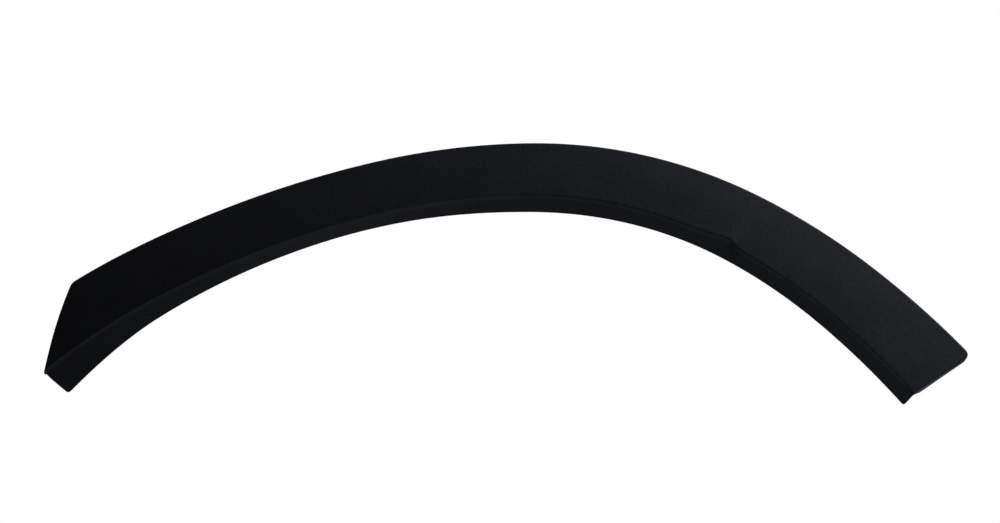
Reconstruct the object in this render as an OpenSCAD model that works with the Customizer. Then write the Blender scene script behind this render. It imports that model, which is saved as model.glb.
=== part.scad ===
// Wheel arch trim of moulded black plastic with its push-in clips, in millimetres.
// X runs along the car with +X towards its front, Y runs into the body and Z is up.
// The origin is on the crown locating pin, where its shoulder meets the body panel.
// A section of the moulding is drawn in [u, v]: u is measured outwards from the fold line,
// away from the wheel, and v is the depth towards the body, from 0 at the fold.

/* [Arch line] */
// Radius of the fold line just behind the crown
rear_crown_r = 610; // [520:5:720]
// Angle that this stretch turns through
rear_crown_a = 13; // [10:0.5:16]
// Radius of the fold line over the rear haunch
rear_haunch_r = 920; // [760:10:1100]
// Angle that the rear haunch turns through
rear_haunch_a = 14.5; // [12:0.5:17]
// Radius of the rear tail, which runs down to the sill
rear_tail_r = 575; // [480:5:700]
// Angle that the rear tail turns through
rear_tail_a = 12; // [10:0.5:14]
// Radius of the fold line just ahead of the crown
front_crown_r = 385; // [330:5:460]
// Angle that this stretch turns through
front_crown_a = 28.5; // [24:0.5:32]
// Radius of the fold line over the front haunch
front_haunch_r = 520; // [440:10:620]
// Angle that the front haunch turns through
front_haunch_a = 12; // [9:0.5:15]
// Radius of the front tail, which runs down to the bumper
front_tail_r = 730; // [600:10:900]
// Angle that the front tail turns through
front_tail_a = 8.6; // [7:0.1:11]
// Radius at which the trim turns into the body behind the crown, seen from above
rear_plan_r = 2800; // [2000:50:5000]
// Radius at which the trim turns into the body ahead of the crown, seen from above
front_plan_r = 2400; // [1800:50:5000]

/* [Face] */
// Wall of the moulding
wall = 2.8; // [2.4:0.1:3.2]
// Width of the face at the rear end
face_w_rear_end = 63; // [58:0.5:70]
// Width of the face half way down the rear
face_w_rear = 58.5; // [56:0.5:66]
// Width of the face at the crown
face_w_crown = 59; // [56:0.5:66]
// Width of the face half way down the front
face_w_front = 63; // [57:0.5:70]
// Width of the face at the front end
face_w_front_end = 70; // [60:0.5:76]
// How much deeper the top edge of the face lies than the fold
face_set = 10; // [7:0.5:11]
// How far the face is crowned between its edges
face_crown = 1.3; // [0.6:0.1:1.8]
// Reach of the rounding along the top edge
top_round = 3; // [2.9:0.1:3.6]
// Depth of the return behind the top edge
top_return = 9; // [7:0.5:9]

/* [Lip] */
// Depth of the short step between the fold and the lip
step_depth = 6.25; // [4.5:0.25:7.5]
// How far the step leans in below the fold
step_in = 0.6; // [0.4:0.1:1.4]
// Reach of the rounding of the fold
fold_round = 1.8; // [1:0.1:2.2]
// Depth of the lip's inner edge, from the fold
lip_depth = 24; // [23:0.5:28]
// How far the lip spreads towards the wheel at the rear end
lip_spread_rear_end = 23; // [16:0.5:26]
// The same three quarters of the way down the rear
lip_spread_rear_tail = 8.5; // [6:0.5:12]
// The same where the rear haunch begins
lip_spread_rear = 2.5; // [1:0.5:5]
// The same at the crown
lip_spread_crown = 6.75; // [3:0.25:9]
// The same half way down the front
lip_spread_front = 5.75; // [3:0.25:9]
// The same at the front end
lip_spread_front_end = 7.5; // [4:0.5:11]

/* [Ends] */
// Slant of the rear cut away from square, leaning to the crown
rear_cut_a = 46; // [35:1:48]
// Slant of the front cut away from square, leaning forwards
front_cut_a = 6; // [0:0.5:10]
// Radius of the face's top corner at the rear end
rear_corner_r = 12; // [8:0.5:14]
// Radius of the face's top corner at the front end
front_corner_r = 7; // [6:0.5:10]
// Radius of the lip's inner corners at both ends
lip_corner_r = 3; // [2:0.25:4]
// Rise of the end walls' back edge above the fold, for each millimetre across the face
end_rise = 1.2; // [0.8:0.1:2]
// Rounding between the face and the end walls
end_round = 2; // [1.2:0.1:2.6]
// How far the rear end of the lip is cut back at its inner edge
lip_cutback_rear = 7; // [2:0.5:9]
// How far the front end of the lip is cut back at its inner edge
lip_cutback_front = 0.5; // [0.5:0.5:5]
// Flare of the end walls, so that the moulding leaves its tool
end_draft = 0.3; // [0.2:0.05:0.6]

/* [Swage] */
// Distance of the swage's peak ahead of the crown, along the fold
swage_at = 190; // [160:5:215]
// Height by which the fold line rises at the swage
swage_rise = 4.5; // [2:0.25:6]
// How far the fold stands out at the swage
swage_out = 1.2; // [0.4:0.1:2]
// Length over which the fold line climbs to the swage
swage_lead = 46; // [30:1:70]
// Length over which the fold line drops back after it
swage_trail = 18; // [12:1:30]
// Drop of the fold line where it rounds down to the front end
end_drop = 2.8; // [1:0.2:4]
// Length of that rounding
end_drop_run = 14; // [10:1:22]

/* [Body fit] */
// Depth of the body panel behind the fold
seat_depth = 22; // [21.5:0.25:24]
// Distance of the clips and locating pins above the fold
clip_up = 28; // [26:0.5:30]
// Number of clips behind the crown
rear_clips = 4; // [3:1:5]
// Number of clips ahead of the crown
front_clips = 4; // [3:1:5]
// Distance from the crown to the nearest clip on each side
crown_gap = 42; // [36:1:50]
// Distance from the rear end to the last clip, along the fold
rear_margin = 64; // [60:1:80]
// Distance from the front end to the last clip, along the fold
front_margin = 30; // [26:1:45]

/* [Clip] */
// Diameter of the clip's head, which slides into its tower
head_d = 13; // [11:0.25:14]
// Thickness of the clip's head
head_t = 1.5; // [1.2:0.1:1.8]
// Diameter of the clip's neck
neck_d = 7; // [6:0.25:8]
// Thickness of the clip's flange
flange_t = 1.2; // [1:0.1:1.5]
// Diameter of the clip's flange
flange_d = 15; // [14:0.25:17]
// Diameter of the clip's stem between its barbs
stem_d = 4.4; // [3.6:0.1:5]
// Diameter of the widest barb
barb_d = 8.4; // [7:0.1:9.5]
// Number of barbs
barbs = 4; // [3:1:5]
// Distance from one barb to the next
barb_pitch = 2.7; // [2.4:0.1:3.2]
// How much smaller in radius each barb is than the one before it
barb_taper = 0.25; // [0.1:0.05:0.35]
// Length of the pointed tip
tip_l = 3; // [2:0.25:5]
// Thickness of the foam ring between the flange and the body
ring_t = 2; // [1.6:0.1:2.4]
// Outer diameter of the foam ring
ring_d = 14; // [13:0.25:16]
// Wall of a clip tower
tower_wall = 1.8; // [1.5:0.1:2.2]
// Thickness of a clip tower's roof
roof_t = 2; // [1.6:0.1:2.4]
// Thickness of the body panel that the clips grip
panel_t = 1; // [0.7:0.1:1.5]
// Clearance round the clip's head and neck
clip_gap = 0.3; // [0.2:0.05:0.5]

/* [Locating pins] */
// Diameter of a locating pin
pin_d = 6; // [5:0.25:8]
// Length of a locating pin past the body panel's face
pin_l = 8; // [6:0.5:12]
// Length of the pin's chamfered tip
pin_tip = 1.5; // [0.8:0.1:2.5]
// Diameter of the thicker foot that carries the pin up to the body panel
pin_foot_d = 7.5; // [7:0.25:8.5]
// Reach of the fins that stiffen the foot
pin_fin = 2; // [1:0.25:3]

/* [Ribs] */
// Thickness of a rib behind the fold
rib_t = 1.6; // [1.2:0.1:2.2]
// Reach of a rib up the face, from the fold
rib_up = 15; // [10:0.5:17]
// Clearance between a rib's depth and the lip's inner edge
rib_short = 5; // [3:0.5:8]

/* [Edge seal] */
// Width of the foam strip inside the top return
seal_w = 4; // [3:0.25:5]
// Chamfer along the edges that meet the body panel
seal_chamfer = 0.8; // [0.4:0.1:1]
// Length of return that the strip is stuck to
seal_grip = 5; // [3:0.25:6]
// Thickness of the strip's adhesive
seal_bond = 0.15; // [0.1:0.05:0.25]
// Distance from the seal's ends to the end walls
seal_margin = 10; // [6:1:20]

/* [Hidden] */
clip_count = rear_clips + front_clips;
$fn = 48;

plastic_colour = "#1e1f22";
clip_colour = "#d9d6cc";
foam_colour = "#3a3a3c";
small = 0.01;

// Arcs of each half as [radius, angle], from the crown outwards
rear_arcs = [[rear_crown_r, rear_crown_a], [rear_haunch_r, rear_haunch_a], [rear_tail_r, rear_tail_a]];
front_arcs = [[front_crown_r, front_crown_a], [front_haunch_r, front_haunch_a], [front_tail_r, front_tail_a]];
function arc_run(arc) = arc[0] * arc[1] * PI / 180;
rear_len = arc_run(rear_arcs[0]) + arc_run(rear_arcs[1]) + arc_run(rear_arcs[2]);
front_len = arc_run(front_arcs[0]) + arc_run(front_arcs[1]) + arc_run(front_arcs[2]);

// Point after a distance along tangent arcs that turn downwards: [x, z, heading below level]
function walk(arcs, d, i = 0, x = 0, z = 0, h = 0) =
    let (r = arcs[i][0],
         run = arc_run(arcs[i]),
         last = d <= run || i == len(arcs) - 1,
         turn = (last ? d : run) / r * 180 / PI,
         x2 = x + r * (sin(h + turn) - sin(h)),
         z2 = z + r * (cos(h + turn) - cos(h)))
    last ? [x2, z2, h + turn] : walk(arcs, d - run, i + 1, x2, z2, h + turn);

// Fold line at distance s from the crown, +s forwards: [x, z, heading below level]
function fold_at(s) =
    let (w = walk(s < 0 ? rear_arcs : front_arcs, abs(s)), side = sign(s))
    [side * w[0], w[1] - clip_up, side * w[2]];

// How far the plan curve has turned into the body at x, and the slope of that turn along X
function plan_r(x) = x < 0 ? rear_plan_r : front_plan_r;
function plan_in(x) = plan_r(x) - sqrt(pow(plan_r(x), 2) - x * x);
function plan_slope(x) = x / sqrt(pow(plan_r(x), 2) - x * x);

// Smooth curve through knots [[s, value], ...]
function knot_slope(k, i) =
    let (a = k[max(i - 1, 0)], b = k[min(i + 1, len(k) - 1)]) (b[1] - a[1]) / (b[0] - a[0]);
function knot_span(k, s, i = 0) = i >= len(k) - 2 || s < k[i + 1][0] ? i : knot_span(k, s, i + 1);
function through(k, s) =
    let (i = knot_span(k, s),
         run = k[i + 1][0] - k[i][0],
         t = (s - k[i][0]) / run,
         m0 = knot_slope(k, i) * run,
         m1 = knot_slope(k, i + 1) * run,
         v0 = k[i][1],
         v1 = k[i + 1][1])
    t < 0 ? v0 + m0 * t : t > 1 ? v1 + m1 * (t - 1)
    : v0 + m0 * t + (3 * (v1 - v0) - 2 * m0 - m1) * pow(t, 2) + (2 * (v0 - v1) + m0 + m1) * pow(t, 3);

face_knots = [[-rear_len, face_w_rear_end], [-rear_len * 0.5, face_w_rear], [0, face_w_crown],
              [front_len * 0.5, face_w_front], [front_len, face_w_front_end]];
lip_knots = [[-rear_len, lip_spread_rear_end], [-rear_len * 0.75, lip_spread_rear_tail],
             [-rear_len * 0.4, lip_spread_rear], [0, lip_spread_crown],
             [front_len * 0.5, lip_spread_front], [front_len, lip_spread_front_end]];
function face_w(s) = through(face_knots, s);

// Share of the swage at s: it climbs to its peak, then drops back more steeply
function ease(t) = pow(max(0, min(1, t)), 2);
function swage(s) =
    s < swage_at ? ease(1 - (swage_at - s) / swage_lead) : ease(1 - (s - swage_at) / swage_trail);
function fold_shift(s) =
    let (drop = end_drop * ease((s - front_len + end_drop_run) / end_drop_run))
    [swage_rise * swage(s) - drop, -swage_out * swage(s)];

// Outer corners of the section at s: lip edge, foot of the step, fold, top of the face, edge of the return
rim_depth = face_set + top_return;
function corners(s) =
    let (w = face_w(s), shift = fold_shift(s))
    [[-step_in - through(lip_knots, s), lip_depth],
     [shift[0] - step_in, step_depth],
     shift,
     [w, face_set],
     [w, rim_depth]];

// Point of the outer face at s, for t from 0 at the fold to 1 at the top
face_steps = [0.1, 0.22, 0.36, 0.5, 0.64, 0.77, 0.88];
function face_point(s, t) =
    [t * face_w(s), t * face_set - 4 * face_crown * t * (1 - t)] + pow(1 - t, 3) * fold_shift(s);
function face_v(s, u) = let (t = u / face_w(s)) face_point(s, t)[1];

// Corner softened over a reach on both sides, as points of a parabola
function unit(a) = a / norm(a);
function soft(p, d_in, d_out, reach, steps) =
    [for (k = [0:steps]) let (t = k / steps)
        p - d_in * reach * pow(1 - t, 2) + d_out * reach * pow(t, 2)];

// Corner moved inwards by the wall, square to both of its sides
function inwards(d) = [-d[1], d[0]];
function mitre(p, d_in, d_out, t) =
    let (a = inwards(d_in), b = inwards(d_out)) p + t * (a + b) / (1 + a * b);

// Distances from the lip's edge of its first rows, which follow the rounding of its corners
lip_row_at = [for (a = [90:-30:0]) lip_corner_r * (1 - sin(a))];

// Section at s as a row of points, t inside the outer surface
fold_steps = 3;
foot_steps = 2;
inner_soft = wall * 0.18;
function section(s, t) =
    let (c = corners(s),
         face = [for (k = face_steps) face_point(s, k)],
         lip_d = unit(c[1] - c[0]),
         step_d = unit(c[2] - c[1]),
         face_d = unit(face[0] - c[2]),
         top_d = unit(c[3] - face[len(face) - 1]),
         back_d = unit(c[4] - c[3]),
         inner = t > 0,
         rows = len(face))
    concat(
        [for (d = lip_row_at) c[0] + lip_d * d + t * inwards(lip_d)],
        [c[0] + (c[1] - c[0]) * 0.5 + t * inwards(lip_d)],
        soft(mitre(c[1], lip_d, step_d, t), lip_d, step_d, inner ? inner_soft : fold_round, foot_steps),
        soft(mitre(c[2], step_d, face_d, t), step_d, face_d, inner ? inner_soft : fold_round, fold_steps),
        [for (k = [0:rows - 1])
            let (d = unit(face[min(k + 1, rows - 1)] - face[max(k - 1, 0)])) face[k] + t * inwards(d)],
        soft(mitre(c[3], top_d, back_d, t), top_d, back_d, inner ? inner_soft : top_round, fold_steps),
        [c[4] + t * inwards(back_d)]);
lip_rows = len(lip_row_at) + 1;
fold_rows = lip_rows + foot_steps + fold_steps + 2;
row_count = len(section(0, 0));

// Where row j of the section ends at the rear (side -1) or the front (side 1), for a surface t inside.
// The lip ends square and is cut back more towards its inner edge, where its corner is rounded.
function cut_at(side, j, t) =
    let (s0 = side < 0 ? -rear_len : front_len,
         p = section(s0, t)[j],
         outer = section(s0, 0),
         lean = side < 0 ? rear_cut_a : -front_cut_a,
         r = (side < 0 ? rear_corner_r : front_corner_r) - t,
         w = face_w(s0) - t,
         back = side < 0 ? lip_cutback_rear : lip_cutback_front,
         cutback = j < fold_rows ? back * sqrt(max(0, outer[j][1]) / lip_depth) : 0,
         to_edge = max(0, lip_corner_r - norm(outer[j] - outer[0])),
         lip = cutback + lip_corner_r - sqrt(pow(lip_corner_r, 2) - pow(to_edge, 2)),
         plain = max(p[0], 0) * tan(lean) + cutback + t / cos(lean),
         centre_u = w - r,
         centre_s = centre_u * tan(lean) + (t + r) / cos(lean),
         rounded = p[0] > centre_u + r * sin(lean)
             ? centre_s - sqrt(max(0, r * r - pow(min(p[0], w) - centre_u, 2))) : plain)
    s0 - side * (j < lip_rows ? lip : rounded);

// Places along the fold at which square sections are drawn, closer together at the swage.
// Past them the columns turn by steps from square to the slant of each end.
rear_zone_run = face_w_rear_end * 2;
front_zone_run = face_w_front_end * 0.86;
rear_zone = rear_len - rear_zone_run;
front_zone = front_len - front_zone_run;
zone_steps_rear = [0.06, 0.16, 0.28, 0.4, 0.52, 0.64, 0.76, 0.88];
zone_steps_front = [0.88, 0.76, 0.62, 0.48, 0.34, 0.2, 0.08];
pitch = face_w_crown * 0.22;
function spread_steps(a, b) =
    let (n = max(1, ceil((b - a) / pitch))) [for (k = [0:n - 1]) a + (b - a) * k / n];
swage_steps = [for (k = [0:3]) swage_at - swage_lead * (1 - k / 4)];
trail_steps = [for (k = [0:5]) swage_at + swage_trail * k / 5];
along = concat(spread_steps(-rear_zone, 0), spread_steps(0, swage_at - swage_lead), swage_steps, trail_steps,
               [for (s = spread_steps(swage_at + swage_trail, front_zone)) if (s > swage_at + swage_trail) s],
               [front_zone]);

// Vertex of the surface that lies t inside the outer one, for a place s and row j.
// At the ends it is pushed back by a share of the end wall's depth, which rises from the fold.
function wall_depth(s, j) =
    let (q = section(s, 0)[j]) j < lip_rows ? 0 : min(rim_depth, step_depth + end_rise * max(q[0], 0));
function vertex(s, j, t, push = 0) =
    let (f = fold_at(s),
         p = section(s, t)[j],
         v = push > 0 ? p[1] + max(0, wall_depth(s, j) - p[1]) * push : p[1])
    [f[0] + sin(f[2]) * p[0], plan_in(f[0]) + v - seat_depth, f[1] + cos(f[2]) * p[0]];

// End columns as [distance in from the cut, share of the way back to the rim]
function end_columns(t) =
    let (r = t > 0 ? inner_soft : end_round)
    [[-end_draft, 1], [0, r / rim_depth], [0.3 * r, 0.3 * r / rim_depth], [r, 0]];

function columns(t) = concat(
    [for (e = end_columns(t)) [for (j = [0:row_count - 1]) vertex(cut_at(-1, j, t) + e[0], j, t, e[1])]],
    [for (k = zone_steps_rear) [for (j = [0:row_count - 1])
        let (a = cut_at(-1, j, t) + end_round) vertex(a + (-rear_zone - a) * k, j, t)]],
    [for (s = along) [for (j = [0:row_count - 1]) vertex(s, j, t)]],
    [for (k = zone_steps_front) [for (j = [0:row_count - 1])
        let (a = cut_at(1, j, t) - end_round) vertex(a + (front_zone - a) * k, j, t)]],
    [for (i = [3:-1:0]) let (e = end_columns(t)[i])
        [for (j = [0:row_count - 1]) vertex(cut_at(1, j, t) - e[0], j, t, e[1])]]);

// Closed shell between two surfaces with the same columns and rows
module shell(outer, inner) {
    n = len(outer);
    m = len(outer[0]);
    points = concat([for (c = outer) each c], [for (c = inner) each c]);
    in = n * m;
    function quad(a, b, c, d) = [[a, b, c], [a, c, d]];
    skin = [for (i = [0:n - 2], j = [0:m - 2]) let (a = i * m + j) each quad(a, a + 1, a + m + 1, a + m)];
    lining = [for (i = [0:n - 2], j = [0:m - 2])
        let (a = in + i * m + j) each quad(a, a + m, a + m + 1, a + 1)];
    edges = concat(
        [for (i = [0:n - 2], j = [0, m - 1])
            let (a = i * m + j, b = a + m, flip = j == 0) each flip ? quad(a, b, in + b, in + a)
                                                                : quad(b, a, in + a, in + b)],
        [for (j = [0:m - 2], i = [0, n - 1])
            let (a = i * m + j, b = a + 1, flip = i == 0) each flip ? quad(b, a, in + a, in + b)
                                                                : quad(a, b, in + b, in + a)]);
    polyhedron(points, concat(skin, lining, edges), convexity = 10);
}

// Places of the clips along the fold, from the rear to the front
rear_pitch = (rear_len - rear_margin - crown_gap) / (rear_clips - 1);
front_pitch = (front_len - front_margin - crown_gap) / (front_clips - 1);
clip_s = concat([for (i = [rear_clips - 1:-1:0]) -crown_gap - i * rear_pitch],
                [for (i = [0:front_clips - 1]) crown_gap + i * front_pitch]);
pin_s = [-crown_gap - (rear_clips - 1.5) * rear_pitch, 0, crown_gap + (front_clips - 1.5) * front_pitch];
rib_s = concat([for (i = [0:rear_clips - 2], k = [1, 2]) -crown_gap - (i + k / 3) * rear_pitch],
               [for (k = [-1, 1]) k * crown_gap / 2],
               [for (i = [0:front_clips - 2], k = [1, 2]) crown_gap + (i + k / 3) * front_pitch]);

// Frame on the body panel above place s: local x along the arch, y into the body, z outwards
module on_body(s, turned = true) {
    f = fold_at(s);
    translate([f[0] + sin(f[2]) * clip_up, plan_in(f[0]), f[1] + cos(f[2]) * clip_up])
        rotate([0, f[2], 0])
            rotate([0, 0, turned ? atan(plan_slope(f[0]) * cos(f[2])) : 0])
                children();
}

// Shape drawn in local [y, z] and run along local x from a to b
module along_x(a, b) {
    translate([a, 0, 0]) rotate([90, 0, 90]) linear_extrude(b - a) children();
}

// Clip tower: a box on the back of the face, open to the rear, with a keyhole in its roof
roof_out = -ring_t - flange_t;
roof_in = roof_out - roof_t;
tower_half = head_d / 2 + clip_gap + tower_wall;
keyhole_r = neck_d / 2 + clip_gap;
slot_half = neck_d / 2 - clip_gap;
function mid_wall(s, z) = face_v(s, clip_up + z) + wall / 2 - seat_depth;
module tower(s) {
    inside = tower_half - tower_wall;
    on_body(s) difference() {
        along_x(-tower_half, tower_half)
            polygon([[mid_wall(s, -tower_half), -tower_half], [roof_out, -tower_half],
                     [roof_out, tower_half], [mid_wall(s, tower_half), tower_half]]);
        along_x(-tower_half - small, inside)
            polygon([[-seat_depth, -inside], [roof_in, -inside], [roof_in, inside], [-seat_depth, inside]]);
        translate([0, roof_in - small, 0]) rotate([-90, 0, 0])
            cylinder(h = roof_t + 2 * small, r = keyhole_r);
        along_x(-tower_half - small, 0)
            polygon([[roof_in - small, -slot_half], [roof_out + small, -slot_half],
                     [roof_out + small, slot_half], [roof_in - small, slot_half]]);
    }
}

// Locating pin: a foot with crossed fins up to the body panel, and the pin on through the panel's hole
module locating_pin(s) {
    r = pin_d / 2;
    reach = pin_foot_d / 2 + pin_fin;
    foot = mid_wall(s, 0);
    f = fold_at(s);
    fall = reach * plan_slope(f[0]) * cos(f[2]);
    on_body(s, turned = false) {
        rotate([-90, 0, 0]) rotate_extrude()
            polygon([[0, foot], [pin_foot_d / 2, foot], [pin_foot_d / 2, 0], [r, 0], [r, pin_l],
                     [r - pin_tip / 2, pin_l + pin_tip], [0, pin_l + pin_tip]]);
        along_x(-rib_t / 2, rib_t / 2)
            polygon([[mid_wall(s, -reach), -reach], [0, -reach], [0, reach], [mid_wall(s, reach), reach]]);
        translate([0, 0, -rib_t / 2]) linear_extrude(rib_t)
            polygon([[-reach, foot - fall], [reach, foot + fall], [reach, 0], [-reach, 0]]);
    }
}

// Rib: a thin web that ties the face to the lip behind the fold
module rib(s) {
    c = corners(s);
    deep = lip_depth - rib_short;
    lip_u = c[1][0] + (c[0][0] - c[1][0]) * (deep - c[1][1]) / (c[0][1] - c[1][1]);
    half = wall / 2;
    on_body(s) along_x(-rib_t / 2, rib_t / 2)
        polygon([for (p = [[rib_up, face_v(s, rib_up) + half], [c[2][0] + half, c[2][1] + half],
                           [c[1][0] + half, c[1][1]], [lip_u + half, deep]])
                    [p[1] - seat_depth, p[0] - clip_up]]);
}

// The trim itself, moulded in one piece
module moulding() {
    color(plastic_colour) union() {
        shell(columns(0), columns(wall));
        for (s = clip_s) tower(s);
        for (s = pin_s) locating_pin(s);
        for (s = rib_s) rib(s);
    }
}

// Foam strip inside the top return, which meets the body panel
seal_rear = -rear_len + face_w_rear_end * tan(rear_cut_a) + seal_margin;
seal_front = front_len - seal_margin;
seal_places = concat(spread_steps(seal_rear, 0), spread_steps(0, seal_front), [seal_front]);
function seal_row(s, u, v) =
    let (f = fold_at(s)) [f[0] + sin(f[2]) * u, plan_in(f[0]) + v - seat_depth, f[1] + cos(f[2]) * u];
function seal_section(s) =
    let (out = face_w(s) - wall - seal_bond, foot = rim_depth - seal_grip)
    [[out, foot], [out, seat_depth - seal_chamfer], [out - seal_chamfer, seat_depth],
     [out - seal_w + seal_chamfer, seat_depth], [out - seal_w, seat_depth - seal_chamfer],
     [out - seal_w, foot]];
module edge_seal() {
    rows = len(seal_section(0));
    points = [for (s = seal_places, p = seal_section(s)) seal_row(s, p[0], p[1])];
    last = (len(seal_places) - 1) * rows;
    color(foam_colour) polyhedron(points, concat(
        [[for (j = [0:rows - 1]) j]],
        [[for (j = [rows - 1:-1:0]) last + j]],
        [for (i = [0:len(seal_places) - 2], j = [0:rows - 1])
            let (a = i * rows + j, b = i * rows + (j + 1) % rows)
                each [[a, a + rows, b + rows], [a, b + rows, b]]]),
        convexity = 10);
}

// Push-in clip: head under the tower's roof, neck, flange and barbed stem, turned about its axis
barb_face = 0.3;
barb_edge = 0.5;
barb_foot = 0.4;
tip_blunt = 0.4;
module clip(i) {
    head_out = roof_in - clip_gap / 2;
    flange_in = roof_out + small;
    flange_out = flange_in + flange_t - 2 * small;
    stem_r = stem_d / 2;
    tip = panel_t + barbs * barb_pitch;
    color(clip_colour) on_body(clip_s[i - 1]) rotate([-90, 0, 0]) rotate_extrude()
        polygon(concat(
            [[0, head_out - head_t], [head_d / 2, head_out - head_t], [head_d / 2, head_out],
             [neck_d / 2, head_out], [neck_d / 2, flange_in], [flange_d / 2, flange_in],
             [flange_d / 2, flange_out], [stem_r, flange_out]],
            [for (k = [0:barbs - 1])
                let (r = barb_d / 2 - barb_taper * k)
                    for (p = [[stem_r, 0], [r, barb_face], [r, barb_face + barb_edge],
                              [stem_r, barb_pitch - barb_foot]])
                        [p[0], panel_t + k * barb_pitch + p[1]]],
            [[stem_r, tip], [stem_r * tip_blunt, tip + tip_l], [0, tip + tip_l]]));
}

// Foam ring between the clip's flange and the body panel, slipped on over the barbs
module clip_ring(i) {
    color(foam_colour) on_body(clip_s[i - 1]) translate([0, -ring_t, 0]) rotate([-90, 0, 0]) difference() {
        cylinder(h = ring_t, d = ring_d);
        translate([0, 0, -small]) cylinder(h = ring_t + 2 * small, d = barb_d + clip_gap);
    }
}

moulding();
edge_seal();
for (i = [1:clip_count]) clip(i);
for (i = [1:clip_count]) clip_ring(i);
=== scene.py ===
# %% [markdown]
# A wheel arch trim is a long thin plastic moulding that covers the edge of a car's wheel opening.
# The imported CAD model is the frame of this scene: it says where everything is, in metres.
# This script loads it before anything is added.

# %% Load the imported model
from math import cos, pi, radians, sin

import bmesh
import bpy
import numpy as np
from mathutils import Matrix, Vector


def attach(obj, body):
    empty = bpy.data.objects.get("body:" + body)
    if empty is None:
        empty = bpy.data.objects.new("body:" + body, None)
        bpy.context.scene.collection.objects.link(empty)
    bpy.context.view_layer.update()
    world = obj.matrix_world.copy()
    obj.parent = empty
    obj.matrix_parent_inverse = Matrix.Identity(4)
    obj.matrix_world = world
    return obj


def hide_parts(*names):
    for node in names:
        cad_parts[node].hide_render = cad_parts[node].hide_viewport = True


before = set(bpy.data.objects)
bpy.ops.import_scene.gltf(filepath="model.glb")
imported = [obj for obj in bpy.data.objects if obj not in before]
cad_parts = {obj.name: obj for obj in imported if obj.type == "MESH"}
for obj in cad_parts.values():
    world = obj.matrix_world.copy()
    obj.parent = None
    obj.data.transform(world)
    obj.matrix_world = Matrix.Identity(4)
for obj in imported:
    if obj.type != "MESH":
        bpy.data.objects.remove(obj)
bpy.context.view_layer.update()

# %% [markdown]
# The photograph was taken from outside the car and from about 20 degrees below, with a longish lens,
# so the narrow lip under the face shows along the whole arch. The camera comes first because
# every later choice is judged through it.

# %% Camera at the photograph's angle
LOOK_UP = radians(20)
AIM = Vector((-0.0308, 0.0, -0.0859))
DISTANCE = 1.83
LENS_MM, SENSOR_MM = 70, 36


def make_camera():
    """The camera stands at the aim point minus the distance along a line that climbs at LOOK_UP."""
    data = bpy.data.cameras.new("photo_camera")
    data.lens, data.sensor_width = LENS_MM, SENSOR_MM
    camera = bpy.data.objects.new("photo_camera", data)
    camera.location = AIM - DISTANCE * Vector((0, cos(LOOK_UP), sin(LOOK_UP)))
    camera.rotation_euler = (pi / 2 + LOOK_UP, 0, 0)
    bpy.context.scene.collection.objects.link(camera)
    bpy.context.scene.camera = camera
    return camera


camera = make_camera()
print("camera at", [round(v, 3) for v in camera.location])

# %% [markdown]
# The light comes from high on the right and only a little in front: it grazes the face, so the front
# end is charcoal, the rear end is almost black, and the short step under the face stays in shade
# where the fold hides it. A weak lamp low on the right keeps the lip readable, and a wide one
# behind shows the clips in the other views.

# %% Lamps
def area_lamp(name, place, target, size, watts):
    """A square lamp of that size at place, turned so that its axis runs through target."""
    data = bpy.data.lights.new(name, "AREA")
    data.shape, data.size, data.energy = "SQUARE", size, watts
    lamp = bpy.data.objects.new(name, data)
    lamp.location = place
    lamp.rotation_euler = (Vector(target) - Vector(place)).to_track_quat("-Z", "Y").to_euler()
    bpy.context.scene.collection.objects.link(lamp)
    return lamp


area_lamp("key_high_right", (2.13, -0.5, 1.96), (0.1, 0, -0.09), 0.5, 120)
area_lamp("fill_low_right", (0.52, -0.5, -1.0), (0.2, 0, -0.12), 0.4, 5.6)
area_lamp("back_soft", (-0.4, 2.2, 1.3), (0, 0, -0.09), 1.6, 75)

# %% [markdown]
# The background is pure white. The world shows white to the camera, and to glossy and transmitted
# rays, but gives only a little light of its own to the object, so the black plastic stays black.
# The floor lies well below the trim, because the trim hangs on a car and the camera is under it.

# %% Colours and nodes
def linear(hex_colour):
    """sRGB hex to linear: c / 12.92 below 0.04045, else ((c + 0.055) / 1.055) to the power 2.4."""
    c = np.array([int(hex_colour[i:i + 2], 16) for i in (1, 3, 5)]) / 255
    return tuple(np.where(c <= 0.04045, c / 12.92, ((c + 0.055) / 1.055) ** 2.4)) + (1.0,)


def add_node(tree, kind, settings=(), inputs=(), links=()):
    """Adds a node, sets its properties and input values, and links other nodes' outputs to its inputs."""
    node = tree.nodes.new(kind)
    for key, value in dict(settings).items():
        setattr(node, key, value)
    for key, value in dict(inputs).items():
        node.inputs[key].default_value = value
    for key, source in dict(links).items():
        tree.links.new(source, node.inputs[key])
    return node


def seen_directly(tree):
    """1 where the ray comes from the camera, a gloss or a glass, and 0 for light that only bounces."""
    path = add_node(tree, "ShaderNodeLightPath")
    seen = add_node(tree, "ShaderNodeMath", {"operation": "MAXIMUM"},
                    links={0: path.outputs["Is Camera Ray"], 1: path.outputs["Is Glossy Ray"]})
    return add_node(tree, "ShaderNodeMath", {"operation": "MAXIMUM"},
                    links={0: seen.outputs[0], 1: path.outputs["Is Transmission Ray"]}).outputs[0]


def make_world():
    """Strength 1 where the world is seen directly, and a low strength otherwise."""
    world = bpy.data.worlds.new("white_room")
    world.use_nodes = True
    tree = world.node_tree
    tree.nodes.clear()
    strength = add_node(tree, "ShaderNodeMapRange", inputs={"To Min": AMBIENT, "To Max": 1.0},
                        links={"Value": seen_directly(tree)})
    back = add_node(tree, "ShaderNodeBackground", inputs={"Color": (1, 1, 1, 1)},
                    links={"Strength": strength.outputs[0]})
    add_node(tree, "ShaderNodeOutputWorld", links={"Surface": back.outputs[0]})
    bpy.context.scene.world = world


AMBIENT = 0.035
make_world()
bpy.context.scene.view_settings.view_transform = "Standard"
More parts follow.
